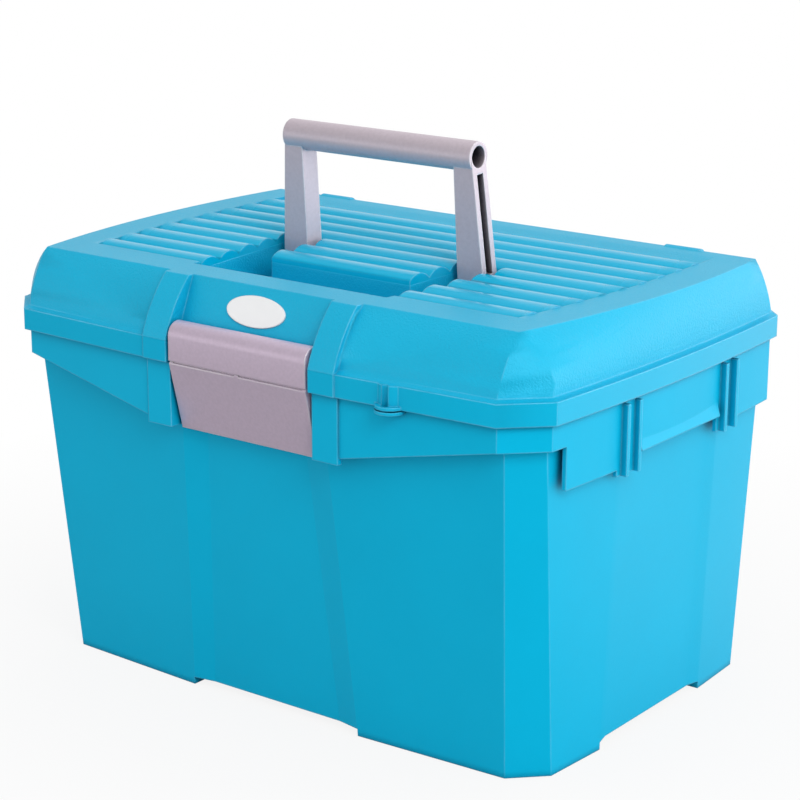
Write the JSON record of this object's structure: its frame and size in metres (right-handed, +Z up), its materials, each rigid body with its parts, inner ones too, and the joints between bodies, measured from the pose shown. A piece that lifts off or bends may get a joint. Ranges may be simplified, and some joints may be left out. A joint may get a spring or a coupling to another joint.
{
  "type": "horse grooming box",
  "caption": "Lidded plastic carrying box with a tapered tub, domed ribbed lid, fold-down handle, front flap latch, padlock ears and a lift-out tray.",
  "frame": {"origin": "bottom centre of the bounding box, with the lid shut and the handle raised", "axes": "+X to the right seen from the front, +Y to the back where the lid is hinged, +Z up"},
  "size_m": [0.388, 0.2924, 0.3227],
  "materials": {
    "tub_plastic": "satin",
    "lid_plastic": "satin",
    "handle_plastic": "metallic satin",
    "latch_plastic": "metallic satin",
    "badge_plastic": "gloss",
    "tray_plastic": "satin",
    "pin_steel": "bright"
  },
  "bodies": {
    "box": {"body_tub": "tub_plastic", "hinge_pin_left": "pin_steel", "hinge_pin_right": "pin_steel"},
    "lid": {"lid_shell": "lid_plastic", "badge_plate": "badge_plastic", "latch_pin": "pin_steel", "handle_pin_left": "pin_steel", "handle_pin_right": "pin_steel"},
    "handle": {"carry_handle": "handle_plastic"},
    "latch": {"latch_flap": "latch_plastic"},
    "tray": {"lift_out_tray": "tray_plastic"}
  },
  "joints": [
    {"name": "lid_hinge", "type": "hinge", "parent": "box", "child": "lid", "pos_m": [0, 0.1422, 0.204], "axis": [-1, 0, 0], "range_deg": [0, 105]},
    {"name": "handle_fold", "type": "hinge", "parent": "lid", "child": "handle", "pos_m": [0, -0.0055, 0.238], "axis": [1, 0, 0], "range_deg": [0, 85.6]},
    {"name": "latch_swing", "type": "hinge", "parent": "lid", "child": "latch", "pos_m": [0, -0.1345, 0.2195], "axis": [-1, 0, 0], "range_deg": [0, 100]},
    {"name": "tray_lift", "type": "slide", "parent": "box", "child": "tray", "axis": [0, 0, 1], "range_m": [0, 0.017]}
  ]
}
